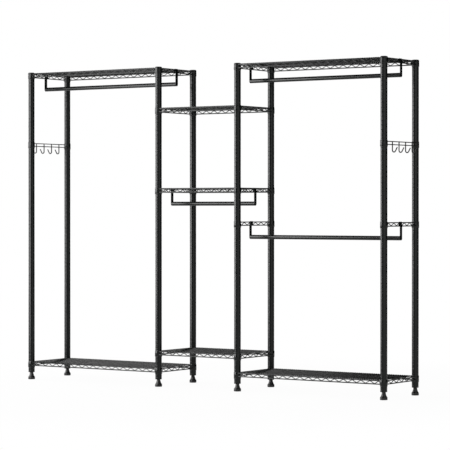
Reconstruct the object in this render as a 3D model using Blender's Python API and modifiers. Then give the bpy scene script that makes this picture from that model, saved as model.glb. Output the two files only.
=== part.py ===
"""Freestanding clothes rack with three bays, in powder-coated steel.

Eight round posts stand in four front-and-back pairs, each post in two sections
that screw together. Wire shelves clamp round the posts with a collar at each
corner. Hanging rods hook over the side trusses of the shelves, and two racks of
coat hooks close the ends. Each post stands on a screwed levelling foot.

Metres, +Z up, +X to the viewer's right, +Y to the back. The origin is on the
floor, at the middle of the width and of the depth.
"""

import math

import bmesh
import bpy
from mathutils import Matrix

# Driving sizes: distances between post centres
LONG_BAY = 1.002
SHORT_BAY = 0.581
DEPTH = 0.363

# Heights of the collars' middles, stacked from the floor up
BOTTOM_LEVEL = 0.097
LOW_SHELF_RISE = 0.106
MIDDLE_SHELF_RISE = 0.990
HIGH_SHELF_RISE = 0.489
TOP_SHELF_RISE = 0.246
SIDE_FRAME_DROP = 0.200
LEFT_HOOKS_DROP = 0.438
RIGHT_HOOKS_DROP = 0.472

LOW_LEVEL = BOTTOM_LEVEL + LOW_SHELF_RISE
MIDDLE_LEVEL = LOW_LEVEL + MIDDLE_SHELF_RISE
HIGH_LEVEL = MIDDLE_LEVEL + HIGH_SHELF_RISE
TOP_LEVEL = HIGH_LEVEL + TOP_SHELF_RISE
SIDE_FRAME_LEVEL = MIDDLE_LEVEL - SIDE_FRAME_DROP
LEFT_HOOKS_LEVEL = TOP_LEVEL - LEFT_HOOKS_DROP
RIGHT_HOOKS_LEVEL = TOP_LEVEL - RIGHT_HOOKS_DROP

# Shared fits and counts
FIT_GAP = 0.0003
MERGE_DISTANCE = 0.00001
CUTTING_SPARE = 0.002
ROUND_SIDES = 12
SHARP_ANGLE = math.radians(40)

# Posts: a tube in two sections, the upper one with a joint plug at its lower end
POST_DIAMETER = 0.040
POST_WALL = 0.0012
POST_TOP_RISE = 0.0005
LOWER_POST_LENGTH = 0.900
JOINT_PLUG_LENGTH = 0.025
JOINT_FLOOR = 0.004

# Collars: the ring that a shelf, side frame or hook rack clamps to a post with
COLLAR_HEIGHT = 0.034
COLLAR_WALL = 0.00195

# Caps: a low plastic dome with a plug that presses into the post
CAP_HEIGHT = 0.0042
CAP_EDGE = 0.0018
CAP_CHAMFER = 0.004
CAP_PLUG_LENGTH = 0.012

# Levelling feet: a plastic bell on a threaded stem, in a nut pressed into the post
FOOT_HEIGHT = 0.0447
FOOT_BASE_DIAMETER = 0.0436
FOOT_BASE_HEIGHT = 0.015
FOOT_SHOULDER_DIAMETER = 0.033
FOOT_SHOULDER_HEIGHT = 0.007
FOOT_NECK_DIAMETER = 0.022
STEM_DIAMETER = 0.010
STEM_LENGTH = 0.028
NUT_LENGTH = 0.020

# Shelf trusses: two rails with a zigzag wire between them
RAIL_DIAMETER = 0.0064
TOP_RAIL_RISE = 0.0115
BOTTOM_RAIL_DROP = 0.008
ZIGZAG_WIRE = 0.004
ZIGZAG_WELD = 0.001
ZIGZAG_PITCH = 0.059
TRUSS_OFFSET = 0.0125

# Shelf decks: wires from front to back, sunk a little into the top rails by their welds
DECK_WIRE = 0.003
DECK_PITCH = 0.050
DECK_SINK = 0.0008
RIM_INSET = 0.0004

# Hanging rods: a closed tube with a bent strap at each end
ROD_DIAMETER = 0.025
ROD_WALL = 0.0012
ROD_END_WALL = 0.0024
ROD_VENT = 0.006
ROD_DROP = 0.078
ROD_FORWARD = 0.016
STRAP_WIDTH = 0.025
STRAP_THICKNESS = 0.002
STRAP_LEG = 0.020
STRAP_CHAMFER = 0.0015

# Hook racks: two thin rails and a row of open hooks, a little off the middle of the rails
HOOK_COUNT = 4
HOOK_PITCH = 0.0757
HOOK_ROW_SHIFT = 0.006
HOOK_RAIL = 0.005
HOOK_WIRE = 0.006
HOOK_RAIL_OFFSET = 0.014
HOOK_TOP_RISE = 0.0105
HOOK_RAIL_SPACING = 0.0175
HOOK_DEPTH = 0.060
HOOK_TIP_DROP = 0.034
HOOK_REACH = 0.034
HOOK_BEND_RADIUS = 0.0105
HOOK_BEND_ANGLE = math.radians(143)
HOOK_BEND_STEPS = 6
HOOK_WELD = 0.001

DECK_RISE = TOP_RAIL_RISE + RAIL_DIAMETER / 2 - DECK_SINK + DECK_WIRE / 2
POST_RADIUS = POST_DIAMETER / 2
BORE_RADIUS = POST_RADIUS - POST_WALL
PLUG_RADIUS = BORE_RADIUS - FIT_GAP
COLLAR_BORE = POST_RADIUS + FIT_GAP
COLLAR_RADIUS = COLLAR_BORE + COLLAR_WALL
POST_BOTTOM = FOOT_HEIGHT + FIT_GAP
POST_JOINT = POST_BOTTOM + LOWER_POST_LENGTH
POST_TOP = TOP_LEVEL + COLLAR_HEIGHT / 2 + POST_TOP_RISE

COLUMNS = {
    "left_outer": -SHORT_BAY / 2 - LONG_BAY,
    "left_inner": -SHORT_BAY / 2,
    "right_inner": SHORT_BAY / 2,
    "right_outer": SHORT_BAY / 2 + LONG_BAY,
}
ROWS = {"front": -DEPTH / 2, "back": DEPTH / 2}
LEFT_BAY = (COLUMNS["left_outer"] + COLUMNS["left_inner"]) / 2
RIGHT_BAY = (COLUMNS["right_inner"] + COLUMNS["right_outer"]) / 2
TURN_UP = Matrix.Rotation(math.pi / 2, 4, "X")
QUARTER_TURN = Matrix.Rotation(math.pi / 2, 4, "Z")
HALF_TURN = Matrix.Rotation(math.pi, 4, "Z")


def clear_scene():
    for thing in list(bpy.data.objects):
        bpy.data.objects.remove(thing, do_unlink=True)


def new_collection(name):
    group = bpy.data.collections.new(name)
    bpy.context.scene.collection.children.link(group)
    return group


def finish(name, colour, roughness, metallic):
    """A Principled material with one colour, for a powder coat, a plastic or a bare metal."""
    made = bpy.data.materials.new(name)
    made.use_nodes = True
    shader = made.node_tree.nodes["Principled BSDF"]
    shader.inputs["Base Color"].default_value = (*colour, 1)
    shader.inputs["Roughness"].default_value = roughness
    shader.inputs["Metallic"].default_value = metallic
    made.diffuse_color = (*colour, 1)
    return made


def welded_mesh(source):
    """The evaluated mesh of an object, welded and facing out. The object is removed."""
    graph = bpy.context.evaluated_depsgraph_get()
    mesh = bpy.data.meshes.new_from_object(source.evaluated_get(graph))
    shape = bmesh.new()
    shape.from_mesh(mesh)
    bmesh.ops.remove_doubles(shape, verts=shape.verts, dist=MERGE_DISTANCE)
    bmesh.ops.recalc_face_normals(shape, faces=shape.faces)
    shape.to_mesh(mesh)
    shape.free()
    mesh.shade_smooth()
    mesh.set_sharp_from_angle(angle=SHARP_ANGLE)
    bpy.data.objects.remove(source, do_unlink=True)
    return mesh


def turned_mesh(name, profile, ring=False):
    """A round shape from (radius, height) points down its outer side. A ring's profile is a closed loop."""
    points = [(radius, 0, height) for radius, height in profile]
    edges = [(i, i + 1) for i in range(len(points) - 1)]
    if ring:
        edges.append((len(points) - 1, 0))
    mesh = bpy.data.meshes.new(name)
    mesh.from_pydata(points, edges, [])
    guide = bpy.data.objects.new(name, mesh)
    cutters.objects.link(guide)
    turn = guide.modifiers.new("turn", "SCREW")
    turn.steps = ROUND_SIDES
    turn.render_steps = ROUND_SIDES
    turn.use_merge_vertices = True
    turn.merge_threshold = MERGE_DISTANCE
    return welded_mesh(guide)


def plate_mesh(name, outlines, thickness):
    """Flat plates of one thickness, one for each closed outline."""
    shape = bmesh.new()
    for outline in outlines:
        floor = [shape.verts.new((x, y, -thickness / 2)) for x, y in outline]
        roof = [shape.verts.new((x, y, thickness / 2)) for x, y in outline]
        shape.faces.new(floor)
        shape.faces.new(roof)
        for i in range(len(outline)):
            shape.faces.new((floor[i - 1], floor[i], roof[i], roof[i - 1]))
    mesh = bpy.data.meshes.new(name)
    shape.to_mesh(mesh)
    shape.free()
    guide = bpy.data.objects.new(name, mesh)
    cutters.objects.link(guide)
    return welded_mesh(guide)


def wire_mesh(name, routes, diameter):
    """Wires of one diameter along open routes of points."""
    curve = bpy.data.curves.new(name, "CURVE")
    curve.dimensions = "3D"
    curve.bevel_depth = diameter / 2
    curve.bevel_resolution = 0
    curve.use_fill_caps = True
    for route in routes:
        spline = curve.splines.new("POLY")
        spline.points.add(len(route) - 1)
        for point, place in zip(spline.points, route):
            point.co = (*place, 1)
    guide = bpy.data.objects.new(name, curve)
    cutters.objects.link(guide)
    return welded_mesh(guide)


def helper(name, pieces):
    """One hidden object that holds copies of meshes, each moved by its matrix."""
    shape = bmesh.new()
    for mesh, place in pieces:
        moved = mesh.copy()
        moved.transform(place)
        shape.from_mesh(moved)
        bpy.data.meshes.remove(moved)
    mesh = bpy.data.meshes.new(name)
    shape.to_mesh(mesh)
    shape.free()
    made = bpy.data.objects.new(name, mesh)
    made.hide_render = True
    made.display_type = "WIRE"
    cutters.objects.link(made)
    return made


def combined_mesh(name, base, steps):
    """The mesh that Boolean steps make of a helper: each step is an operation and another helper."""
    start = helper(name, [(base.data, Matrix())])
    for operation, other in steps:
        change = start.modifiers.new(other.name, "BOOLEAN")
        change.operation = operation
        change.object = other
        change.solver = "EXACT"
    return welded_mesh(start)


def pierced_mesh(name, edge, openings, thickness):
    """A flat plate with the outline of its edge, and an opening cut for each other outline."""
    plate = helper(name + "_plate", [(plate_mesh(name, [edge], thickness), Matrix())])
    cutting = plate_mesh(name + "_cutting", openings, thickness + CUTTING_SPARE)
    cuts = helper(name + "_cuts", [(cutting, Matrix())])
    return combined_mesh(name, plate, [("DIFFERENCE", cuts)])


def place(name, mesh, location, material):
    thing = bpy.data.objects.new(name, mesh)
    thing.location = location
    if not mesh.materials:
        mesh.materials.append(material)
    thing.parent = rack
    parts.objects.link(thing)
    return thing


def shifted(x=0, y=0, z=0):
    return Matrix.Translation((x, y, z))


def zigzag_openings(length):
    """The openings of a truss in its own plane, between its rails and its zigzag wire."""
    rail = RAIL_DIAMETER / 2
    half_waves = max(2, round(2 * length / ZIGZAG_PITCH))
    step = length / half_waves
    height = TOP_RAIL_RISE + BOTTOM_RAIL_DROP
    slope = math.atan2(height, step)
    side = ZIGZAG_WIRE / 2 / math.sin(slope)
    reach = step - rail / math.tan(slope) - side
    peak = max(rail + ZIGZAG_WELD, ZIGZAG_WIRE / 2 / math.cos(slope))
    low = -BOTTOM_RAIL_DROP
    high = TOP_RAIL_RISE
    openings = []
    for k in range(half_waves + 1):
        foot, top, tip = (low + rail, high - peak, 1) if k % 2 else (high - rail, low + peak, -1)
        middle = k * step
        start = max(middle - reach, RAIL_DIAMETER)
        end = min(middle + reach, length - RAIL_DIAMETER)
        if 0 < k < half_waves:
            openings.append([(start, foot), (end, foot), (middle, top)])
            continue
        edge = start if k == 0 else end
        rise = foot + tip * (reach - abs(edge - middle)) * math.tan(slope)
        openings.append([(start, foot), (end, foot), (edge, rise)])
    return openings


def truss_mesh(name, length):
    """A truss along X, from one post centre to the next."""
    low = -BOTTOM_RAIL_DROP - RAIL_DIAMETER / 2
    high = TOP_RAIL_RISE + RAIL_DIAMETER / 2
    edge = [(0, low), (length, low), (length, high), (0, high)]
    mesh = pierced_mesh(name, edge, zigzag_openings(length), RAIL_DIAMETER)
    mesh.transform(TURN_UP @ shifted(x=-length / 2))
    return mesh


def deck_mesh(name, length):
    """The deck's wires, with one at its middle, and the strips on the long rails that carry them."""
    side_gap = length + 2 * TRUSS_OFFSET
    count = 2 * max(1, round(side_gap / 2 / DECK_PITCH))
    outer = DEPTH / 2 + TRUSS_OFFSET + RAIL_DIAMETER / 2 - RIM_INSET
    inner = DEPTH / 2 + TRUSS_OFFSET - RAIL_DIAMETER / 2 + RIM_INSET
    end = length / 2
    slots = []
    for i in range(count):
        low = side_gap * (i / count - 1 / 2) + DECK_WIRE / 2
        high = side_gap * ((i + 1) / count - 1 / 2) - DECK_WIRE / 2
        slots.append([(low, -inner), (high, -inner), (high, inner), (low, inner)])
    edge = [(-end, -outer), (end, -outer), (end, outer), (-end, outer)]
    return pierced_mesh(name, edge, slots, DECK_WIRE)


def corner_places(length, depth):
    return [shifted(x=x, y=y) for x in (-length / 2, length / 2) for y in (-depth / 2, depth / 2)]


def shelf_mesh(name, length):
    """A welded shelf: four trusses, a deck on top and a collar at each corner."""
    outside = DEPTH / 2 + TRUSS_OFFSET
    end = length / 2 + TRUSS_OFFSET
    long_truss = truss_mesh(name + "_long_truss", length)
    side_truss = truss_mesh(name + "_side_truss", DEPTH)
    trusses = helper(
        name + "_trusses",
        [
            (long_truss, shifted(y=-outside)),
            (long_truss, shifted(y=outside)),
            (side_truss, shifted(x=-end) @ QUARTER_TURN),
            (side_truss, shifted(x=end) @ QUARTER_TURN),
        ],
    )
    deck = helper(name + "_deck", [(deck_mesh(name + "_deck_plate", length), shifted(z=DECK_RISE))])
    corners = corner_places(length, DEPTH)
    bores = helper(name + "_bores", [(bore_cutter, corner) for corner in corners])
    collars = helper(name + "_collars", [(collar_ring, corner) for corner in corners])
    steps = [("UNION", deck), ("DIFFERENCE", bores), ("UNION", collars)]
    return combined_mesh(name, trusses, steps)


def side_frame_mesh():
    """A single truss between a front and a back post, with a collar at each end."""
    plate = truss_mesh("side_frame_plate", DEPTH)
    truss = helper("side_frame_truss", [(plate, shifted(x=TRUSS_OFFSET) @ QUARTER_TURN)])
    ends = corner_places(0, DEPTH)[:2]
    bores = helper("side_frame_bores", [(bore_cutter, end) for end in ends])
    collars = helper("side_frame_collars", [(collar_ring, end) for end in ends])
    return combined_mesh("side_frame", truss, [("DIFFERENCE", bores), ("UNION", collars)])


def hook_route(y):
    """The centre line of one hook: down its stem, round its bend and out to its tip."""
    out = HOOK_RAIL_OFFSET + (HOOK_RAIL + HOOK_WIRE) / 2 - HOOK_WELD
    bend_height = HOOK_TOP_RISE - HOOK_DEPTH + HOOK_BEND_RADIUS
    route = [(out, y, HOOK_TOP_RISE + HOOK_RAIL / 2)]
    for i in range(HOOK_BEND_STEPS + 1):
        angle = math.pi + HOOK_BEND_ANGLE * i / HOOK_BEND_STEPS
        x = out + HOOK_BEND_RADIUS * (1 + math.cos(angle))
        route.append((x, y, bend_height + HOOK_BEND_RADIUS * math.sin(angle)))
    route.append((out + HOOK_REACH, y, HOOK_TOP_RISE - HOOK_TIP_DROP))
    return route


def hook_rack_mesh():
    """Two rails between a front and a back post, and the hooks welded across them."""
    heights = (HOOK_TOP_RISE, HOOK_TOP_RISE - HOOK_RAIL_SPACING)
    rail_routes = [[(HOOK_RAIL_OFFSET, y, z) for y in (-DEPTH / 2, DEPTH / 2)] for z in heights]
    rails = helper("hook_rails", [(wire_mesh("hook_rail_wires", rail_routes, HOOK_RAIL), Matrix())])
    middle = (HOOK_COUNT - 1) / 2
    hook_routes = [hook_route((i - middle) * HOOK_PITCH - HOOK_ROW_SHIFT) for i in range(HOOK_COUNT)]
    hooks = helper("hooks", [(wire_mesh("hook_wires", hook_routes, HOOK_WIRE), Matrix())])
    ends = corner_places(0, DEPTH)[:2]
    bores = helper("hook_rack_bores", [(bore_cutter, end) for end in ends])
    collars = helper("hook_rack_collars", [(collar_ring, end) for end in ends])
    steps = [("UNION", hooks), ("DIFFERENCE", bores), ("UNION", collars)]
    return combined_mesh("hook_rack", rails, steps)


def strap_mesh(name):
    """A strap seen from its edge: up from the rod's end, over a top rail and down inside it."""
    near = RAIL_DIAMETER / 2 + FIT_GAP
    far = near + STRAP_THICKNESS
    under = TOP_RAIL_RISE + RAIL_DIAMETER / 2 + FIT_GAP
    over = under + STRAP_THICKNESS
    leg_end = under - STRAP_LEG
    bottom = ROD_VENT - ROD_DROP
    outline = [
        (near, bottom),
        (far, bottom),
        (far, over - STRAP_CHAMFER),
        (far - STRAP_CHAMFER, over),
        (STRAP_CHAMFER - far, over),
        (-far, over - STRAP_CHAMFER),
        (-far, leg_end),
        (-near, leg_end),
        (-near, under),
        (near, under),
    ]
    mesh = plate_mesh(name, [outline], STRAP_WIDTH)
    mesh.transform(TURN_UP)
    return mesh


def rod_mesh(name, length):
    """A rod for a bay: the tube's end walls carry the straps that hook over the side trusses."""
    truss = length / 2 + TRUSS_OFFSET
    spare = (ROD_END_WALL - STRAP_THICKNESS) / 2
    end = truss + RAIL_DIAMETER / 2 + FIT_GAP + STRAP_THICKNESS + spare
    radius = ROD_DIAMETER / 2
    bore = radius - ROD_WALL
    vent = ROD_VENT / 2
    profile = [
        (vent, end),
        (radius, end),
        (radius, -end),
        (vent, -end),
        (vent, ROD_END_WALL - end),
        (bore, ROD_END_WALL - end),
        (bore, end - ROD_END_WALL),
        (vent, end - ROD_END_WALL),
    ]
    tube_mesh = turned_mesh(name + "_turned", profile, ring=True)
    lay = shifted(z=-ROD_DROP) @ Matrix.Rotation(math.pi / 2, 4, "Y")
    tube = helper(name + "_tube", [(tube_mesh, lay)])
    strap = strap_mesh(name + "_strap")
    straps = helper(
        name + "_straps",
        [(strap, shifted(x=truss)), (strap, shifted(x=-truss) @ HALF_TURN)],
    )
    return combined_mesh(name, tube, [("UNION", straps)])


def lower_post_mesh():
    profile = [
        (BORE_RADIUS, POST_JOINT),
        (POST_RADIUS, POST_JOINT),
        (POST_RADIUS, POST_BOTTOM),
        (BORE_RADIUS, POST_BOTTOM),
    ]
    return turned_mesh("lower_post", profile, ring=True)


def upper_post_mesh():
    start = POST_JOINT + FIT_GAP
    profile = [
        (0, start + JOINT_FLOOR),
        (BORE_RADIUS, start + JOINT_FLOOR),
        (BORE_RADIUS, POST_TOP),
        (POST_RADIUS, POST_TOP),
        (POST_RADIUS, start),
        (PLUG_RADIUS, start),
        (PLUG_RADIUS, start - JOINT_PLUG_LENGTH),
        (0, start - JOINT_PLUG_LENGTH),
    ]
    return turned_mesh("upper_post", profile)


def cap_mesh():
    base = POST_TOP + FIT_GAP
    profile = [
        (0, base + CAP_HEIGHT),
        (POST_RADIUS - CAP_CHAMFER, base + CAP_HEIGHT),
        (POST_RADIUS, base + CAP_EDGE),
        (POST_RADIUS, base),
        (PLUG_RADIUS, base),
        (PLUG_RADIUS, base - CAP_PLUG_LENGTH),
        (0, base - CAP_PLUG_LENGTH),
    ]
    return turned_mesh("cap", profile)


def foot_nut_mesh():
    bore = STEM_DIAMETER / 2 + FIT_GAP
    profile = [
        (bore, POST_BOTTOM + NUT_LENGTH),
        (PLUG_RADIUS, POST_BOTTOM + NUT_LENGTH),
        (PLUG_RADIUS, POST_BOTTOM),
        (bore, POST_BOTTOM),
    ]
    return turned_mesh("foot_nut", profile, ring=True)


def foot_mesh():
    stem = STEM_DIAMETER / 2
    profile = [
        (0, FOOT_HEIGHT + STEM_LENGTH),
        (stem, FOOT_HEIGHT + STEM_LENGTH),
        (stem, FOOT_HEIGHT),
        (FOOT_NECK_DIAMETER / 2, FOOT_HEIGHT),
        (FOOT_SHOULDER_DIAMETER / 2, FOOT_BASE_HEIGHT + FOOT_SHOULDER_HEIGHT),
        (FOOT_BASE_DIAMETER / 2, FOOT_BASE_HEIGHT),
        (FOOT_BASE_DIAMETER / 2, 0),
        (0, 0),
    ]
    return turned_mesh("foot", profile)


clear_scene()
parts = new_collection("clothes_rack")
cutters = new_collection("cutters")
rack = bpy.data.objects.new("rack_frame", None)
parts.objects.link(rack)

coat = finish("black_powder_coat", (0.030, 0.032, 0.031), 0.45, 0)
plastic = finish("black_nylon", (0.018, 0.018, 0.018), 0.5, 0)
zinc = finish("zinc_plated_steel", (0.55, 0.55, 0.53), 0.35, 1)

# Collars and the cutter that clears the trusses out of their bores
collar_ring = turned_mesh(
    "collar",
    [
        (COLLAR_BORE, COLLAR_HEIGHT / 2),
        (COLLAR_RADIUS, COLLAR_HEIGHT / 2),
        (COLLAR_RADIUS, -COLLAR_HEIGHT / 2),
        (COLLAR_BORE, -COLLAR_HEIGHT / 2),
    ],
    ring=True,
)
bore_cutter = turned_mesh(
    "bore_cutter",
    [
        (0, COLLAR_HEIGHT),
        (COLLAR_BORE + COLLAR_WALL / 2, COLLAR_HEIGHT),
        (COLLAR_BORE + COLLAR_WALL / 2, -COLLAR_HEIGHT),
        (0, -COLLAR_HEIGHT),
    ],
)

# Posts with their caps, nuts and feet: one of each at every column and row
column_pieces = {
    "post_{}_lower": (lower_post_mesh(), coat),
    "post_{}_upper": (upper_post_mesh(), coat),
    "cap_{}": (cap_mesh(), plastic),
    "foot_nut_{}": (foot_nut_mesh(), zinc),
    "foot_{}": (foot_mesh(), plastic),
}
for column, x in COLUMNS.items():
    for row, y in ROWS.items():
        for pattern, (mesh, material) in column_pieces.items():
            place(pattern.format(f"{column}_{row}"), mesh, (x, y, 0), material)

# Shelves, clamped in their bays at their levels
long_shelf = shelf_mesh("long_shelf", LONG_BAY)
short_shelf = shelf_mesh("short_shelf", SHORT_BAY)
place("left_top_shelf", long_shelf, (LEFT_BAY, 0, TOP_LEVEL), coat)
place("left_bottom_shelf", long_shelf, (LEFT_BAY, 0, BOTTOM_LEVEL), coat)
place("right_top_shelf", long_shelf, (RIGHT_BAY, 0, TOP_LEVEL), coat)
place("right_bottom_shelf", long_shelf, (RIGHT_BAY, 0, BOTTOM_LEVEL), coat)
place("middle_high_shelf", short_shelf, (0, 0, HIGH_LEVEL), coat)
place("middle_centre_shelf", short_shelf, (0, 0, MIDDLE_LEVEL), coat)
place("middle_low_shelf", short_shelf, (0, 0, LOW_LEVEL), coat)

# Side frames that carry the low rod of the right bay, and the hook racks on the two ends
side_frame = side_frame_mesh()
left_end = COLUMNS["left_outer"]
right_end = COLUMNS["right_outer"]
place("right_bay_outer_side_frame", side_frame, (right_end, 0, SIDE_FRAME_LEVEL), coat)
inner_frame_place = (COLUMNS["right_inner"], 0, SIDE_FRAME_LEVEL)
inner_frame = place("right_bay_inner_side_frame", side_frame, inner_frame_place, coat)
inner_frame.rotation_euler.z = math.pi
hook_rack = hook_rack_mesh()
place("right_hook_rack", hook_rack, (right_end, 0, RIGHT_HOOKS_LEVEL), coat)
left_rack = place("left_hook_rack", hook_rack, (left_end, 0, LEFT_HOOKS_LEVEL), coat)
left_rack.rotation_euler.z = math.pi

# Rods, hooked over the side trusses at the level named
long_rod = rod_mesh("long_rod", LONG_BAY)
short_rod = rod_mesh("short_rod", SHORT_BAY)
place("left_rod", long_rod, (LEFT_BAY, -ROD_FORWARD, TOP_LEVEL), coat)
place("right_top_rod", long_rod, (RIGHT_BAY, -ROD_FORWARD, TOP_LEVEL), coat)
place("right_low_rod", long_rod, (RIGHT_BAY, -ROD_FORWARD, SIDE_FRAME_LEVEL), coat)
place("middle_rod", short_rod, (0, -ROD_FORWARD, MIDDLE_LEVEL), coat)
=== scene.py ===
"""The looks of a freestanding clothes rack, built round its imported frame.

Everything is in metres, +Z is up and the front faces -Y.
"""

import math

import bmesh
import bpy
from mathutils import Matrix, Vector


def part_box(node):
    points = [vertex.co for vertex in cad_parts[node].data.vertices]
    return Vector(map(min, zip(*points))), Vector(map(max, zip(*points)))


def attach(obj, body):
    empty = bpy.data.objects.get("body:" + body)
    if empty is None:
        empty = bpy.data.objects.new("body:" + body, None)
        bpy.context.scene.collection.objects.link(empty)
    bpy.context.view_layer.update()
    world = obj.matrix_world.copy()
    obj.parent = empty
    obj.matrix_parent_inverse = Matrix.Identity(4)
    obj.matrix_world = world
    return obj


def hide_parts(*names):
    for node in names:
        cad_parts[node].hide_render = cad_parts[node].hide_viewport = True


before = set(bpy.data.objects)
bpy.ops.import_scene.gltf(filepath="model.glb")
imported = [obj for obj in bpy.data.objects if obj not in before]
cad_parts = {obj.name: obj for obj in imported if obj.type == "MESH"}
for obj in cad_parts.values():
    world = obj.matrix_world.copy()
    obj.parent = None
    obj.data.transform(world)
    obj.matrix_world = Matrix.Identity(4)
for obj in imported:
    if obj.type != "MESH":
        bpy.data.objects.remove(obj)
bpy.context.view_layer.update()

# The camera stands to the right of the rack, about 12.8 m away at chest height, behind a long lens.
# It looks a little down, so that the horizon lies above the middle of the picture.
CAMERA_PLACE = Vector((7.266, -10.482, 1.083))
CAMERA_TURN = math.radians(34.4465)
CAMERA_TILT = math.radians(0.439)
LENS_MM = 167.62
FURTHEST_SEEN = 200

camera_data = bpy.data.cameras.new("camera")
camera_data.lens = LENS_MM
camera_data.clip_end = FURTHEST_SEEN
camera = bpy.data.objects.new("camera", camera_data)
bpy.context.scene.collection.objects.link(camera)
camera.location = CAMERA_PLACE
sight = Vector(
    (
        -math.sin(CAMERA_TURN) * math.cos(CAMERA_TILT),
        math.cos(CAMERA_TURN) * math.cos(CAMERA_TILT),
        -math.sin(CAMERA_TILT),
    )
)
camera.rotation_euler = sight.to_track_quat("-Z", "Y").to_euler()
bpy.context.scene.camera = camera
bpy.context.scene.view_settings.view_transform = "Standard"

# The posts: steel tubes with a shallow groove rolled in every 25 mm, where the shelf sleeves snap in.
# Each stands in two sections that screw together, so a fine seam runs round it at half height.
# The steel is degreased, sprayed with black epoxy powder and baked to a satin coat.
POST_RADIUS = 0.020
POST_WALL = 0.0012
POST_SIDES = 40
POST_SEAM = 0.0003
POST_EDGE = 0.0004
# The middle point of a rounded edge lies this share of the edge's size in from both faces.
EDGE_BULGE = 0.3
GROOVE_PITCH = 0.025
GROOVE_REACH = 0.0018
GROOVE_DEPTH = 0.0005
# A groove's section from top to bottom, as shares of its reach and of its depth.
GROOVE_SECTION = [(1, 0), (0.6, 0), (0.25, 0.7), (0, 1), (-0.25, 0.7), (-0.6, 0), (-1, 0)]
SAME_POINT = 0.000001
SHARP_ANGLE = math.radians(35)


def linear(hex_colour):
    """An sRGB hex colour as linear RGBA."""
    channels = [int(hex_colour[i : i + 2], 16) / 255 for i in (1, 3, 5)]
    return (*[c / 12.92 if c <= 0.04045 else ((c + 0.055) / 1.055) ** 2.4 for c in channels], 1)


def add_node(tree, kind, settings, links):
    """Adds a node with its attributes and its inputs. An input is a value, or another node's output."""
    made = tree.nodes.new(kind)
    for name, value in settings.items():
        setattr(made, name, value)
    for name, value in links.items():
        if isinstance(value, bpy.types.NodeSocket):
            tree.links.new(value, made.inputs[name])
        else:
            made.inputs[name].default_value = value
    return made


def new_finish(name):
    """An empty material, its node tree, and the tree's output node."""
    made = bpy.data.materials.new(name)
    made.use_nodes = True
    made.node_tree.nodes.clear()
    out = add_node(made.node_tree, "ShaderNodeOutputMaterial", {}, {})
    return made, made.node_tree, out


# Powder coat flows out as it bakes, but keeps a fine orange peel about 2 mm across, and its pigment clouds
# over a hand's breadth. To the eye it is a deep charcoal with a soft, slightly broken gloss, which the
# matting agent in the powder keeps well below that of bare resin.
COAT_DARK = "#0a0d0c"
COAT_LIGHT = "#111514"
COAT_ROUGHNESS = (0.2, 0.27)
PEEL_SIZE = 0.002
PEEL_HEIGHT = 0.00002
CLOUD_SIZE = 0.09

powder_coat, tree, out = new_finish("powder_coated_steel")
place = add_node(tree, "ShaderNodeTexCoord", {}, {})
peel = add_node(
    tree,
    "ShaderNodeTexNoise",
    {},
    {"Vector": place.outputs["Object"], "Scale": 1 / PEEL_SIZE, "Detail": 1, "Roughness": 0.4},
)
cloud = add_node(
    tree,
    "ShaderNodeTexNoise",
    {},
    {"Vector": place.outputs["Object"], "Scale": 1 / CLOUD_SIZE, "Detail": 3, "Roughness": 0.55},
)
pigment = add_node(
    tree,
    "ShaderNodeMix",
    {"data_type": "RGBA"},
    {"Factor": cloud.outputs["Fac"], "A": linear(COAT_DARK), "B": linear(COAT_LIGHT)},
)
gloss = add_node(
    tree,
    "ShaderNodeMapRange",
    {},
    {
        "Value": cloud.outputs["Fac"],
        "From Min": 0.3,
        "From Max": 0.7,
        "To Min": COAT_ROUGHNESS[0],
        "To Max": COAT_ROUGHNESS[1],
    },
)
skin = add_node(
    tree,
    "ShaderNodeBump",
    {},
    {"Height": peel.outputs["Fac"], "Distance": PEEL_HEIGHT, "Strength": 0.25},
)
coat = add_node(
    tree,
    "ShaderNodeBsdfPrincipled",
    {},
    {
        "Base Color": pigment.outputs["Result"],
        "Roughness": gloss.outputs["Result"],
        "Normal": skin.outputs["Normal"],
        "IOR": 1.52,
        "Specular IOR Level": 0.2,
    },
)
tree.links.new(coat.outputs["BSDF"], out.inputs["Surface"])


def rib(shape, profile, turn):
    """The (radius, height) points of a profile as vertices at this turn about Z."""
    return [shape.verts.new((r * math.cos(turn), r * math.sin(turn), z)) for r, z in profile]


def turned(name, profile, sides, ring):
    """A round mesh about Z from a profile. In a ring, the profile's last point joins its first."""
    shape = bmesh.new()
    ribs = [rib(shape, profile, 2 * math.pi * k / sides) for k in range(sides)]
    steps = len(profile) if ring else len(profile) - 1
    for k in range(sides):
        here, there = ribs[k - 1], ribs[k]
        for i in range(steps):
            j = (i + 1) % len(profile)
            shape.faces.new((here[i], here[j], there[j], there[i]))
    bmesh.ops.remove_doubles(shape, verts=shape.verts, dist=SAME_POINT)
    return finished_mesh(name, shape)


def finished_mesh(name, shape):
    """A bmesh as a mesh, with its faces turned outwards."""
    bmesh.ops.recalc_face_normals(shape, faces=shape.faces)
    mesh = bpy.data.meshes.new(name)
    shape.to_mesh(mesh)
    shape.free()
    return mesh


def dress(name, mesh, material, place, nodes, body="rack", turn=0):
    """Puts a mesh at its place as a piece that rides on its body and stands for its CAD nodes."""
    if not mesh.materials:
        mesh.materials.append(material)
        mesh.shade_smooth()
        mesh.set_sharp_from_angle(angle=SHARP_ANGLE)
    piece = bpy.data.objects.new(name, mesh)
    piece.location = place
    piece.rotation_euler.z = turn
    bpy.context.scene.collection.objects.link(piece)
    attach(piece, body)
    if nodes:
        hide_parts(*nodes)
    return piece


def middle(node):
    """The middle of a CAD node's box."""
    low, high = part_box(node)
    return (low + high) / 2


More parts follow.
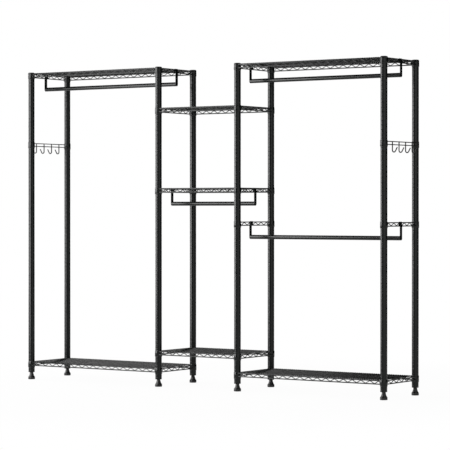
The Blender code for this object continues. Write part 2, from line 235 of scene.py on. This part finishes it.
def rounded_edge(level, inward):
    """A tube's edge, from its end face to its side. inward is -1 at the top end and 1 at the bottom end."""
    return [
        (POST_RADIUS - POST_EDGE, level),
        (POST_RADIUS - POST_EDGE * EDGE_BULGE, level + inward * POST_EDGE * EDGE_BULGE),
        (POST_RADIUS, level + inward * POST_EDGE),
        (POST_RADIUS, level + inward * 2 * POST_EDGE),
    ]


def post_profile(bottom, top):
    """A post section's closed profile: down its grooved outside, and its bore."""
    outside = rounded_edge(top, -1)
    groove = top - GROOVE_PITCH / 2
    while groove > bottom + 2 * GROOVE_REACH:
        for height, depth in GROOVE_SECTION:
            outside.append((POST_RADIUS - GROOVE_DEPTH * depth, groove + GROOVE_REACH * height))
        groove -= GROOVE_PITCH
    outside += reversed(rounded_edge(bottom, 1))
    inside = POST_RADIUS - POST_WALL
    return outside + [(inside, bottom), (inside, top)]


corners = {}
for column in ("left_outer", "left_inner", "right_inner", "right_outer"):
    for row in ("front", "back"):
        spot = middle(f"post_{column}_{row}_lower")
        corners[f"{column}_{row}"] = (spot.x, spot.y)
DEPTH = corners["left_outer_back"][1] - corners["left_outer_front"][1]

sections = {}
for half in ("lower", "upper"):
    low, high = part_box(f"post_left_outer_front_{half}")
    if half == "upper":
        low.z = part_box("post_left_outer_front_lower")[1].z + POST_SEAM
    sections[half] = turned(f"post_{half}_tube", post_profile(low.z, high.z), POST_SIDES, True)
for corner, (x, y) in corners.items():
    for half, mesh in sections.items():
        node = f"post_{corner}_{half}"
        dress(f"{node}_tube", mesh, powder_coat, (x, y, 0), [node])

# The caps: low domes of black nylon, injection moulded, each pressed by its plug into the top of a post.
# Their crown is slightly domed, and a fine parting shadow runs where the rim meets the tube.
CAP_CROWN = [(0, 0), (0.0085, 0.0001), (0.0142, 0.0004), (0.0177, 0.0011), (0.0194, 0.0022)]
CAP_RIM = [(POST_RADIUS, 0.0012), (0.0198, 0.0003), (0.0184, 0.0003)]
CAP_PLUG_RADIUS = 0.0184
CAP_PLUG = 0.012

# A spark-eroded mould leaves nylon with an even, fine grain. The real grain is about 0.2 mm, and it is
# drawn at 0.7 mm to show at all. To the eye it is a dull black with a broad, weak sheen.
NYLON_BLACK = "#0b0c0c"
NYLON_WORN = "#131414"
GRAIN_SIZE = 0.0007
GRAIN_HEIGHT = 0.00003

nylon, tree, out = new_finish("moulded_nylon")
place = add_node(tree, "ShaderNodeTexCoord", {}, {})
grain = add_node(
    tree,
    "ShaderNodeTexNoise",
    {},
    {"Vector": place.outputs["Object"], "Scale": 1 / GRAIN_SIZE, "Detail": 2, "Roughness": 0.5},
)
shade = add_node(
    tree,
    "ShaderNodeMix",
    {"data_type": "RGBA"},
    {"Factor": grain.outputs["Fac"], "A": linear(NYLON_BLACK), "B": linear(NYLON_WORN)},
)
texture = add_node(
    tree,
    "ShaderNodeBump",
    {},
    {"Height": grain.outputs["Fac"], "Distance": GRAIN_HEIGHT, "Strength": 0.5},
)
plastic = add_node(
    tree,
    "ShaderNodeBsdfPrincipled",
    {},
    {
        "Base Color": shade.outputs["Result"],
        "Roughness": 0.4,
        "Normal": texture.outputs["Normal"],
        "IOR": 1.53,
        "Specular IOR Level": 0.3,
    },
)
tree.links.new(plastic.outputs["BSDF"], out.inputs["Surface"])

cap_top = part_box("cap_left_outer_front")[1].z
post_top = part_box("post_left_outer_front_upper")[1].z
cap_profile = [(radius, cap_top - fall) for radius, fall in CAP_CROWN]
cap_profile += [(radius, post_top + rise) for radius, rise in CAP_RIM]
cap_profile += [(CAP_PLUG_RADIUS, post_top - CAP_PLUG), (0, post_top - CAP_PLUG)]
cap = turned("cap_dome", cap_profile, POST_SIDES, False)
for corner, (x, y) in corners.items():
    node = f"cap_{corner}"
    dress(f"{node}_dome", cap, nylon, (x, y, 0), [node])

# The shelves: drawn steel wire, resistance welded into one mat with a collar at each corner, then powder
# coated as a whole. Each side is a truss of two rails with a zigzag wire between them, the deck is close
# rows of thin wire across the rails, and two stouter wires under the deck carry it between the ends.
RAIL = 0.0068
RAIL_SIDES = 12
WIRE_SIDES = 8
TRUSS_OUT = 0.0125
TOP_RAIL = 0.0115
LOW_RAIL = -0.008
ZIGZAG = 0.0048
ZIGZAG_HIGH = TOP_RAIL - RAIL / 4
ZIGZAG_LOW = LOW_RAIL + RAIL / 4
HALF_WAVE = 0.0295
# A zigzag's bends are eased this far to each side, and fall by this share of it in their middle.
BEND_EASE = 0.0022
BEND_FALL = 0.2
# The zigzags don't start quite at the posts: how far their bends lie off on the front and the back truss.
ZIGZAG_LEADS = {"long": (0.0045, 0.003), "short": (-0.004, 0.0055)}
DECK_WIRE = 0.003
DECK_PITCH = 0.0145
DECK_WELD = 0.0008
DECK_TRIM = 0.0004
DECK_HEIGHT = TOP_RAIL + (RAIL + DECK_WIRE) / 2 - DECK_WELD
SUPPORT = 0.0045
SUPPORT_WELD = 0.0006
WELD_RADIUS = 0.0218
COLLAR_OUT = 0.02222
COLLAR_HALF = 0.017
COLLAR_PROFILE = [
    (0.0216, COLLAR_HALF),
    (0.0219, COLLAR_HALF - 0.0005),
    (COLLAR_OUT, 0.0006 - COLLAR_HALF),
    (COLLAR_OUT - 0.0004, -COLLAR_HALF),
    (0.0216, -COLLAR_HALF),
]
# The rings that round off a wire's tip lie at these shares of its radius past the last full one.
TIP_RINGS = (0.5, 0.87, 0.99)


def add_wire(shape, points, diameter, sides=WIRE_SIDES, round_end=False):
    """Sweeps a round wire along points into a bmesh, with mitred bends. Gives the rings of its two ends."""
    points = [Vector(p) for p in points]
    radii = [diameter / 2] * len(points)
    if round_end:
        way = (points[-1] - points[-2]).normalized()
        tip = points[-1]
        for share in TIP_RINGS:
            points.append(tip + way * diameter / 2 * share)
            radii.append(diameter / 2 * math.sqrt(1 - share * share))
    ways = [(b - a).normalized() for a, b in zip(points, points[1:])]
    across = ways[0].orthogonal().normalized()
    rings = []
    for i, (point, radius) in enumerate(zip(points, radii)):
        before, after = ways[max(i - 1, 0)], ways[min(i, len(ways) - 1)]
        across = before.rotation_difference(after) @ across if i else across
        bend = (before + after).normalized()
        side = after.cross(across).normalized()
        ring = []
        for k in range(sides):
            turn = 2 * math.pi * k / sides
            spoke = across * math.cos(turn) + side * math.sin(turn)
            spoke -= after * spoke.dot(bend) / after.dot(bend)
            ring.append(shape.verts.new(point + spoke * radius))
        rings.append(ring)
    for here, there in zip(rings, rings[1:]):
        for k in range(sides):
            shape.faces.new((here[k - 1], here[k], there[k], there[k - 1]))
    shape.faces.new(list(reversed(rings[0])))
    shape.faces.new(rings[-1])
    return rings[0], rings[-1]


def weld_reach(offset):
    """How far from a post's axis a wire ends that passes it at this offset: within its collar's wall."""
    return math.sqrt(WELD_RADIUS**2 - offset**2)


def weld_ends(ends, span, offset):
    """Shapes the ends of a wire along X to the collars of two posts, whose axes lie at offset in Y."""
    for vert in (*ends[0], *ends[1]):
        vert.co.x = math.copysign(span / 2 - weld_reach(offset - vert.co.y), vert.co.x)


def add_shape(shape, part, place):
    """Moves a finished bmesh by a matrix and adds it to another one."""
    mesh = bpy.data.meshes.new("passing_shape")
    part.to_mesh(mesh)
    part.free()
    mesh.transform(place)
    shape.from_mesh(mesh)
    bpy.data.meshes.remove(mesh)


def zigzag_route(span, lead):
    """The zigzag wire of a truss along X, from post to post, with its bends set off by the lead."""
    waves = 2 * round(span / HALF_WAVE / 2)
    step = span / waves
    end = span / 2 - weld_reach(TRUSS_OUT)
    route = []
    for k in range(waves + 1):
        x = k * step - span / 2 + lead
        high = k % 2
        z = ZIGZAG_HIGH if high else ZIGZAG_LOW
        drop = (TOP_RAIL - LOW_RAIL) / step * BEND_EASE * (-1 if high else 1)
        if abs(x) + BEND_EASE < end:
            for offset, share in ((-BEND_EASE, 1), (0, BEND_FALL), (BEND_EASE, 1)):
                route.append((x + offset, 0, z + drop * share))
    return [(-end, 0, LOW_RAIL), *route, (end, 0, LOW_RAIL)]


def add_truss(shape, span, place, lead=0):
    """A truss along X with its posts' axes on its +Y side, then turned and moved by a matrix."""
    truss = bmesh.new()
    end = span / 2 - weld_reach(TRUSS_OUT)
    for z in (TOP_RAIL, LOW_RAIL):
        weld_ends(add_wire(truss, [(-end, 0, z), (end, 0, z)], RAIL, RAIL_SIDES), span, TRUSS_OUT)
    weld_ends(add_wire(truss, zigzag_route(span, lead), ZIGZAG), span, TRUSS_OUT)
    add_shape(shape, truss, place)


def add_collar(shape, x, y):
    """The ring that a shelf clamps round a post with: a short taper, open at both ends."""
    ring = turned("collar_ring", COLLAR_PROFILE, POST_SIDES, True)
    ring.transform(Matrix.Translation((x, y, 0)))
    shape.from_mesh(ring)
    bpy.data.meshes.remove(ring)


def shelf_mesh(name, span, front_lead, back_lead):
    """A whole shelf about the middle of its collars. Its back truss is turned round, and so is its lead."""
    shape = bmesh.new()
    out_y = DEPTH / 2 + TRUSS_OUT
    out_x = span / 2 + TRUSS_OUT
    for side, lead in ((-1, front_lead), (1, -back_lead)):
        facing = Matrix.Rotation(math.pi * (side + 1) / 2, 4, "Z")
        add_truss(shape, span, Matrix.Translation((0, side * out_y, 0)) @ facing, lead)
        across = Matrix.Rotation(math.pi / 2 * side, 4, "Z")
        add_truss(shape, DEPTH, Matrix.Translation((side * out_x, 0, 0)) @ across)
        for end in (-1, 1):
            add_collar(shape, side * span / 2, end * DEPTH / 2)
    count = 2 * round(out_x / DECK_PITCH)
    for i in range(1, count):
        x = 2 * out_x * (i / count - 0.5)
        past_post = abs(span / 2 - abs(x))
        if past_post > COLLAR_OUT + DECK_WIRE / 2:
            reach = out_y + RAIL / 2 - DECK_TRIM
        else:
            reach = DEPTH / 2 - weld_reach(min(past_post, WELD_RADIUS))
        add_wire(shape, [(x, -reach, DECK_HEIGHT), (x, reach, DECK_HEIGHT)], DECK_WIRE)
    under = DECK_HEIGHT - (DECK_WIRE + SUPPORT) / 2 + SUPPORT_WELD
    for y in (-DEPTH / 6, DEPTH / 6):
        add_wire(shape, [(-out_x, y, under), (out_x, y, under)], SUPPORT)
    return finished_mesh(name, shape)


shelves = {
    "left_top_shelf": "long",
    "left_bottom_shelf": "long",
    "right_top_shelf": "long",
    "right_bottom_shelf": "long",
    "middle_high_shelf": "short",
    "middle_centre_shelf": "short",
    "middle_low_shelf": "short",
}
spans = {
    "long": corners["left_inner_front"][0] - corners["left_outer_front"][0],
    "short": corners["right_inner_front"][0] - corners["left_inner_front"][0],
}
mats = {
    size: shelf_mesh(f"{size}_shelf_wire_mat", spans[size], *leads) for size, leads in ZIGZAG_LEADS.items()
}
collar_spots = []
for node, size in shelves.items():
    spot = middle(node)
    dress(f"{node}_wire_mat", mats[size], powder_coat, spot, [node])
    for side in (-1, 1):
        for end in (-1, 1):
            collar_spots.append((node, (spot.x + side * spans[size] / 2, end * DEPTH / 2, spot.z)))

# The side frames: single trusses with a collar at each end, made and coated like a shelf's side.
# They stand between the front and back posts of the right bay, and carry its low rod.
ALONG_DEPTH = Matrix.Rotation(math.pi / 2, 4, "Z")


def clamp_across(node, ending, mesh, column, level, turn):
    """Dresses a frame that is clamped between a column's two posts, and notes where its collars are."""
    x = corners[f"{column}_front"][0]
    dress(f"{node}_{ending}", mesh, powder_coat, (x, 0, level), [node], turn=turn)
    for end in (-1, 1):
        collar_spots.append((node, (x, end * DEPTH / 2, level)))


frame_shape = bmesh.new()
add_truss(frame_shape, DEPTH, Matrix.Translation((TRUSS_OUT, 0, 0)) @ ALONG_DEPTH)
for end in (-1, 1):
    add_collar(frame_shape, 0, end * DEPTH / 2)
side_frame = finished_mesh("side_frame_truss", frame_shape)
for node, column, turn in (
    ("right_bay_outer_side_frame", "right_outer", 0),
    ("right_bay_inner_side_frame", "right_inner", math.pi),
):
    clamp_across(node, "truss", side_frame, column, middle(node).z, turn)

# The hook racks: two thin rails across the end of the rack, with four open hooks of bent wire welded
# over both of them. The hooks hang out over the end, and their tips are rounded by the coat.
HOOK_RAIL = 0.0057
HOOK_RAIL_OUT = 0.014
HOOK_TOP = 0.0105
HOOK_LOW = -0.007
HOOKS = 4
HOOK_PITCH = 0.0757
HOOK_ROW_SHIFT = 0.006
HOOK_WIRE = 0.0068
HOOK_WELD = 0.0006
HOOK_BOTTOM = -0.0495
HOOK_STRAIGHT = 0.008
HOOK_BEND = 0.0105
HOOK_SWEEP = math.radians(143)
HOOK_STEPS = 12
HOOK_TIP = (0.0505, -0.0245)


def hook_route(y):
    """The centre line of a hook: down its stem, round its bend and out to its tip."""
    out = HOOK_RAIL_OUT + (HOOK_RAIL + HOOK_WIRE) / 2 - HOOK_WELD
    route = [(out, y, HOOK_TOP + HOOK_RAIL / 2), (out, y, HOOK_BOTTOM + HOOK_BEND + HOOK_STRAIGHT)]
    for i in range(HOOK_STEPS + 1):
        turn = math.pi + HOOK_SWEEP * i / HOOK_STEPS
        x = out + HOOK_BEND * (1 + math.cos(turn))
        route.append((x, y, HOOK_BOTTOM + HOOK_BEND * (1 + math.sin(turn))))
    route.append((HOOK_TIP[0], y, HOOK_TIP[1]))
    return route


hooks_shape = bmesh.new()
rail_end = DEPTH / 2 - weld_reach(HOOK_RAIL_OUT)
for z in (HOOK_TOP, HOOK_LOW):
    rail = bmesh.new()
    ends = add_wire(rail, [(-rail_end, 0, z), (rail_end, 0, z)], HOOK_RAIL, RAIL_SIDES)
    weld_ends(ends, DEPTH, HOOK_RAIL_OUT)
    add_shape(hooks_shape, rail, Matrix.Translation((HOOK_RAIL_OUT, 0, 0)) @ ALONG_DEPTH)
for i in range(HOOKS):
    y = (i - (HOOKS - 1) / 2) * HOOK_PITCH - HOOK_ROW_SHIFT
    add_wire(hooks_shape, hook_route(y), HOOK_WIRE, RAIL_SIDES, True)
for end in (-1, 1):
    add_collar(hooks_shape, 0, end * DEPTH / 2)
hook_rack = finished_mesh("hook_rack_wire", hooks_shape)
for node, column, turn in (
    ("right_hook_rack", "right_outer", 0),
    ("left_hook_rack", "left_outer", math.pi),
):
    clamp_across(node, "wire", hook_rack, column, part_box(node)[1].z - COLLAR_HALF, turn)

# The sleeves: split tapers of black nylon that snap round a post in two halves. The collar slides down
# over them and wedges them tight. Only their lip shows under each collar, with the slit on either side.
SLEEVE_SLIT = math.radians(1.6)
SLEEVE_STEPS = 16
SLEEVE_PROFILE = [
    (0.02005, COLLAR_HALF + 0.0012),
    (0.0210, COLLAR_HALF + 0.0012),
    (0.02135, COLLAR_HALF + 0.0004),
    (0.02135, -COLLAR_HALF - 0.0004),
    (0.0218, -COLLAR_HALF - 0.0008),
    (0.0218, -COLLAR_HALF - 0.0024),
    (0.0214, -COLLAR_HALF - 0.0028),
    (0.02005, -COLLAR_HALF - 0.0028),
]

sleeve_shape = bmesh.new()
for half in (0, 1):
    ribs = []
    for k in range(SLEEVE_STEPS + 1):
        turn = math.pi * half + SLEEVE_SLIT + (math.pi - 2 * SLEEVE_SLIT) * k / SLEEVE_STEPS
        ribs.append(rib(sleeve_shape, SLEEVE_PROFILE, turn))
    for here, there in zip(ribs, ribs[1:]):
        for i in range(len(SLEEVE_PROFILE)):
            j = (i + 1) % len(SLEEVE_PROFILE)
            sleeve_shape.faces.new((here[i], here[j], there[j], there[i]))
    sleeve_shape.faces.new(ribs[0])
    sleeve_shape.faces.new(list(reversed(ribs[-1])))
sleeve = finished_mesh("split_sleeve", sleeve_shape)
sleeves_on = {}
for node, spot in collar_spots:
    sleeves_on[node] = sleeves_on.get(node, 0) + 1
    dress(f"{node}_sleeve_{sleeves_on[node]}", sleeve, nylon, spot, [])

# The rods: thin round tube with a flat steel strap welded over each end. The strap is bent over the top
# rail of a side truss, so that the rod hangs from it, and the whole is coated after welding.
ROD_RADIUS = 0.0127
ROD_SIDES = 32
ROD_WALL = 0.0012
# The rod's rounded end: how far each point lies inside the radius, and how far back from the end.
ROD_EDGE = [(ROD_WALL, 0), (0.0002, 0), (0, 0.001), (0, 0.002)]
ROD_WELD = 0.0002
STRAP = 0.002
STRAP_HALF = 0.0127
STRAP_OVER = 0.0036
STRAP_PLAY = 0.0003
STRAP_TAIL = 0.0165
STRAP_EDGE = 0.0004
STRAP_WRAP = math.radians(86)
WRAP_STEPS = 8
HOOP_STEPS = 10


def strap_route(drop):
    """A strap's centre line in X and Z, and its half width: up from the rod, over the top rail and down."""
    out = STRAP_OVER + STRAP / 2
    rise = RAIL / 2 + STRAP_PLAY + STRAP / 2
    route = []
    for k in range(WRAP_STEPS + 1):
        turn = STRAP_WRAP * (1 - k / WRAP_STEPS)
        route.append((out, -drop - STRAP_HALF * math.sin(turn), STRAP_HALF * math.cos(turn)))
    for k in range(HOOP_STEPS + 1):
        turn = math.pi * k / HOOP_STEPS
        route.append((out * math.cos(turn), TOP_RAIL + rise * math.sin(turn), STRAP_HALF))
    route.append((-out, TOP_RAIL - STRAP_TAIL, STRAP_HALF))
    return route


def add_strap(shape, x, side, drop):
    """Sweeps a strap's flat section along its centre line."""
    route = strap_route(drop)
    stations = []
    for i, (out, z, half) in enumerate(route):
        before, after = route[max(i - 1, 0)], route[min(i + 1, len(route) - 1)]
        way = Vector((after[0] - before[0], 0, after[1] - before[1])).normalized()
        across = Vector((way.z, 0, -way.x)) * STRAP / 2
        centre = Vector((out, 0, z))
        ring = []
        for offset, y in ((1, -half), (1, half), (-1, half), (-1, -half)):
            point = centre + across * offset + Vector((0, y, 0))
            ring.append(shape.verts.new((x + side * point.x, point.y, point.z)))
        stations.append(ring)
    for here, there in zip(stations, stations[1:]):
        for k in range(4):
            shape.faces.new((here[k - 1], here[k], there[k], there[k - 1]))
    shape.faces.new(stations[0])
    shape.faces.new(list(reversed(stations[-1])))


def rod_mesh(name, span, drop):
    """A rod with its two straps, about the middle of the collars that it hangs between."""
    shape = bmesh.new()
    truss = span / 2 + TRUSS_OUT
    end = truss + STRAP_OVER + ROD_WELD
    profile = [(ROD_RADIUS - inset, end - back) for inset, back in ROD_EDGE]
    profile += [(ROD_RADIUS - inset, back - end) for inset, back in reversed(ROD_EDGE)]
    tube = turned("rod_tube", profile, ROD_SIDES, True)
    tube.transform(Matrix.Translation((0, 0, -drop)) @ Matrix.Rotation(math.pi / 2, 4, "Y"))
    shape.from_mesh(tube)
    bpy.data.meshes.remove(tube)
    for side in (-1, 1):
        add_strap(shape, side * truss, side, drop)
    return finished_mesh(name, shape)


rods = {
    "left_rod": ("left_top_shelf", "long"),
    "right_top_rod": ("right_top_shelf", "long"),
    "right_low_rod": ("right_bay_outer_side_frame", "long"),
    "middle_rod": ("middle_centre_shelf", "short"),
}
rod_meshes = {}
for node, (carrier, size) in rods.items():
    name = f"{node}_tube_and_straps"
    low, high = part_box(node)
    level = middle(carrier).z
    if size not in rod_meshes:
        rod_meshes[size] = rod_mesh(name, spans[size], level - low.z - ROD_RADIUS)
    spot = ((low.x + high.x) / 2, (low.y + high.y) / 2, level)
    piece = dress(name, rod_meshes[size], powder_coat, spot, [node])
    edge = piece.modifiers.new("rolled_edges", "BEVEL")
    edge.width = STRAP_EDGE
    edge.segments = 2
    edge.limit_method = "ANGLE"
    edge.angle_limit = math.radians(50)

# The nuts: threaded inserts of zinc-plated steel, pressed into the lower end of each post.
# Only their face shows, from below, as a bright ring round the foot's stem.
NUT_RADIUS = 0.0185
NUT_EDGE = 0.0006
NUT_BORE = 0.0054
BORE_EDGE = 0.0008

# Bright zinc is passivated in a bath, which leaves a faint yellow and blue bloom in patches of a few
# millimetres. To the eye it is a pale grey metal with a soft shine.
ZINC_GREY = "#a9aaa2"
ZINC_STRAW = "#b5ab92"
BLOOM_SIZE = 0.004

zinc, tree, out = new_finish("zinc_plated_steel")
place = add_node(tree, "ShaderNodeTexCoord", {}, {})
bloom = add_node(
    tree,
    "ShaderNodeTexNoise",
    {},
    {"Vector": place.outputs["Object"], "Scale": 1 / BLOOM_SIZE, "Detail": 3},
)
tint = add_node(
    tree,
    "ShaderNodeMix",
    {"data_type": "RGBA"},
    {"Factor": bloom.outputs["Fac"], "A": linear(ZINC_GREY), "B": linear(ZINC_STRAW)},
)
metal = add_node(
    tree,
    "ShaderNodeBsdfPrincipled",
    {},
    {"Base Color": tint.outputs["Result"], "Metallic": 1.0, "Roughness": 0.38},
)
tree.links.new(metal.outputs["BSDF"], out.inputs["Surface"])

low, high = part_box("foot_nut_left_outer_front")
nut_profile = [
    (NUT_BORE, high.z),
    (NUT_RADIUS - NUT_EDGE, high.z),
    (NUT_RADIUS, high.z - NUT_EDGE),
    (NUT_RADIUS, low.z + NUT_EDGE),
    (NUT_RADIUS - NUT_EDGE, low.z),
    (NUT_BORE + BORE_EDGE, low.z),
    (NUT_BORE, low.z + BORE_EDGE),
]
nut = turned("pressed_nut", nut_profile, POST_SIDES, True)
for corner, (x, y) in corners.items():
    node = f"foot_nut_{corner}"
    dress(f"{node}_insert", nut, zinc, (x, y, 0), [node])

# The levelling feet: bells of moulded nylon on a threaded steel stem. Turning the bell by hand screws the
# stem in or out of the nut, and so levels the rack on an uneven floor. The thread is drawn as plain rings,
# which look the same as its helix at this fine pitch.
NECK_TOP = 0.0445
BELL_SIDES = 48
BELL_PROFILE = [
    (0, NECK_TOP),
    (0.0105, NECK_TOP),
    (0.0112, 0.0435),
    (0.0114, 0.0390),
    (0.0118, 0.0360),
    (0.0134, 0.0300),
    (0.0152, 0.0245),
    (0.0166, 0.0212),
    (0.0185, 0.0182),
    (0.0206, 0.0160),
    (0.0214, 0.0148),
    (0.0216, 0.0135),
    (0.0216, 0.0030),
    (0.0213, 0.0012),
    (0.0205, 0.0000),
    (0.0165, 0.0000),
    (0.0160, 0.0012),
    (0, 0.0012),
]
STEM_RADIUS = 0.005
STEM_EDGE = 0.001
STEM_SIDES = 24
THREAD_PITCH = 0.0015
THREAD_DEPTH = 0.0008
THREAD_END = 0.047

bell = turned("foot_bell", BELL_PROFILE, BELL_SIDES, False)
foot_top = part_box("foot_left_outer_front")[1].z
stem_profile = [(0, foot_top), (STEM_RADIUS - STEM_EDGE, foot_top), (STEM_RADIUS, foot_top - STEM_EDGE)]
z = foot_top - 2 * STEM_EDGE
while z > THREAD_END:
    stem_profile += [(STEM_RADIUS - THREAD_DEPTH, z), (STEM_RADIUS, z - THREAD_PITCH / 2)]
    z -= THREAD_PITCH
stem_profile += [(STEM_RADIUS, NECK_TOP), (0, NECK_TOP)]
stem = turned("foot_stem", stem_profile, STEM_SIDES, False)
for corner, (x, y) in corners.items():
    node = f"foot_{corner}"
    dress(f"{node}_bell", bell, nylon, (x, y, 0), [node], node)
    dress(f"{node}_stem", stem, zinc, (x, y, 0), [], node)

# The studio: a white floor and a white surround. Near the rack the floor takes its shadow, and further
# out it turns to the plain white of the surround, so that no horizon shows.
FLOOR_REACH = 60
SHADOW_SHARE = 0.04
SHADOW_REACH = 3.0
AMBIENT = 0.35
WHITE = "#ffffff"


def seen_rays(tree):
    """1 for rays that show the studio, straight or in gloss or glass, and 0 for those that only light."""
    path = add_node(tree, "ShaderNodeLightPath", {}, {})
    seen = path.outputs["Is Camera Ray"]
    for ray in ("Is Glossy Ray", "Is Transmission Ray"):
        either = add_node(
            tree, "ShaderNodeMath", {"operation": "MAXIMUM"}, {0: seen, 1: path.outputs[ray]}
        )
        seen = either.outputs[0]
    return seen


floor_mesh = bpy.data.meshes.new("studio_floor")
floor_shape = bmesh.new()
bmesh.ops.create_grid(floor_shape, x_segments=1, y_segments=1, size=FLOOR_REACH)
floor_shape.to_mesh(floor_mesh)
floor_shape.free()
floor = bpy.data.objects.new("studio_floor", floor_mesh)
bpy.context.scene.collection.objects.link(floor)

white, tree, out = new_finish("studio_white_paint")
place = add_node(tree, "ShaderNodeTexCoord", {}, {})
distance = add_node(tree, "ShaderNodeVectorMath", {"operation": "LENGTH"}, {0: place.outputs["Object"]})
share = add_node(
    tree,
    "ShaderNodeMapRange",
    {"interpolation_type": "SMOOTHSTEP"},
    {
        "Value": distance.outputs["Value"],
        "From Min": SHADOW_REACH / 2,
        "From Max": SHADOW_REACH,
        "To Min": 1 - SHADOW_SHARE,
        "To Max": 1.0,
    },
)
glow_share = add_node(
    tree,
    "ShaderNodeMath",
    {"operation": "MULTIPLY"},
    {0: seen_rays(tree), 1: share.outputs["Result"]},
)
paint = add_node(tree, "ShaderNodeBsdfDiffuse", {}, {"Color": linear(WHITE)})
glow = add_node(tree, "ShaderNodeEmission", {}, {"Color": linear(WHITE), "Strength": 1.0})
surface = add_node(
    tree,
    "ShaderNodeMixShader",
    {},
    {0: glow_share.outputs[0], 1: paint.outputs["BSDF"], 2: glow.outputs["Emission"]},
)
tree.links.new(surface.outputs["Shader"], out.inputs["Surface"])
floor_mesh.materials.append(white)

world = bpy.data.worlds.new("studio_surround")
world.use_nodes = True
bpy.context.scene.world = world
tree = world.node_tree
tree.nodes.clear()
ambient = add_node(tree, "ShaderNodeBackground", {}, {"Color": linear(WHITE), "Strength": AMBIENT})
surround = add_node(tree, "ShaderNodeBackground", {}, {"Color": linear(WHITE), "Strength": 1.0})
mixed = add_node(
    tree,
    "ShaderNodeMixShader",
    {},
    {0: seen_rays(tree), 1: ambient.outputs[0], 2: surround.outputs[0]},
)
add_node(tree, "ShaderNodeOutputWorld", {}, {"Surface": mixed.outputs[0]})

# The lamps: softboxes on the left and the front left, which draw the pale streak down each post and along
# each rod, weaker ones at the front right and the back left, and a wide one overhead. The near one is a
# strip that only the gloss shows, so that the level of light on the rack stays plain.
RACK_MIDDLE = Vector((0, 0, 1.1))
# Each lamp's place, its width and height, and how bright its face looks.
LAMPS = {
    "near_left_strip": ((-1.68, -2.3, 1.7), (1.9, 3.2), 9.0),
    "far_left_softbox": ((-6.0, -0.5, 2.0), (4.0, 3.5), 5.2),
    "front_left_softbox": ((-3.5, -7.0, 3.0), (2.5, 5.0), 4.8),
    "front_right_softbox": ((5.5, -4.5, 2.2), (4.0, 3.5), 0.7),
    "top_softbox": ((0.0, -0.5, 6.0), (4.5, 4.5), 0.8),
    "back_left_softbox": ((-3.2, 4.0, 2.2), (1.8, 3.0), 0.9),
}
for name, (spot, (width, height), brightness) in LAMPS.items():
    lamp = bpy.data.lights.new(name, "AREA")
    lamp.shape = "RECTANGLE"
    lamp.size = width
    lamp.size_y = height
    lamp.energy = brightness * math.pi * width * height
    holder = bpy.data.objects.new(name, lamp)
    holder.location = spot
    holder.rotation_euler = (RACK_MIDDLE - Vector(spot)).to_track_quat("-Z", "Y").to_euler()
    holder.visible_diffuse = name != "near_left_strip"
    bpy.context.scene.collection.objects.link(holder)

# The screens: black sheets set outside the picture, where a studio would keep one side and the ceiling
# dark.
# Only gloss sees them, and they cast no shadow and block no light: they paint dark reflections, painted
# shade that draws the dark right edge and the dark band on each post, keeps the undersides of the wires
# black in the right bay, and darkens the upper flanks of the rods and rails.
# The black of the screens, which paints shade into the reflections on the rack.
DARK_REFLECTION_BLACK = "#0a0a0a"
# Each screen is swept from the corners along one edge, by the way given last.
SCREENS = {
    "right_screen": ([(-0.6, 4.0, 0.0), (9.0, 4.0, 0.0), (9.0, 1.8, 0.0)], (0.0, 0.0, 6.0)),
    "front_screen": ([(-0.9, -2.75, 0.0), (1.4, -2.4, 0.0)], (0.0, 0.0, 2.4)),
    "ceiling_screen": ([(-9.0, -9.0, 5.0), (4.0, -9.0, 5.0)], (0.0, 14.5, 0.0)),
}

# The screens' material: a plain dark diffuse, seen only in reflections, where it paints shade.
black, tree, out = new_finish("painted_dark_reflection")
reflection_shade = add_node(tree, "ShaderNodeBsdfDiffuse", {}, {"Color": linear(DARK_REFLECTION_BLACK)})
tree.links.new(reflection_shade.outputs["BSDF"], out.inputs["Surface"])
for name, (edge, way) in SCREENS.items():
    screen_mesh = bpy.data.meshes.new(name)
    points = [Vector(corner) + Vector(way) * share for corner in edge for share in (0, 1)]
    panels = [(2 * i, 2 * i + 1, 2 * i + 3, 2 * i + 2) for i in range(len(edge) - 1)]
    screen_mesh.from_pydata(points, [], panels)
    screen_mesh.materials.append(black)
    screen = bpy.data.objects.new(name, screen_mesh)
    bpy.context.scene.collection.objects.link(screen)
    # Only gloss sees a screen, so it paints dark reflections and casts no shadow.
    screen.visible_camera = False
    screen.visible_diffuse = False
    screen.visible_shadow = False
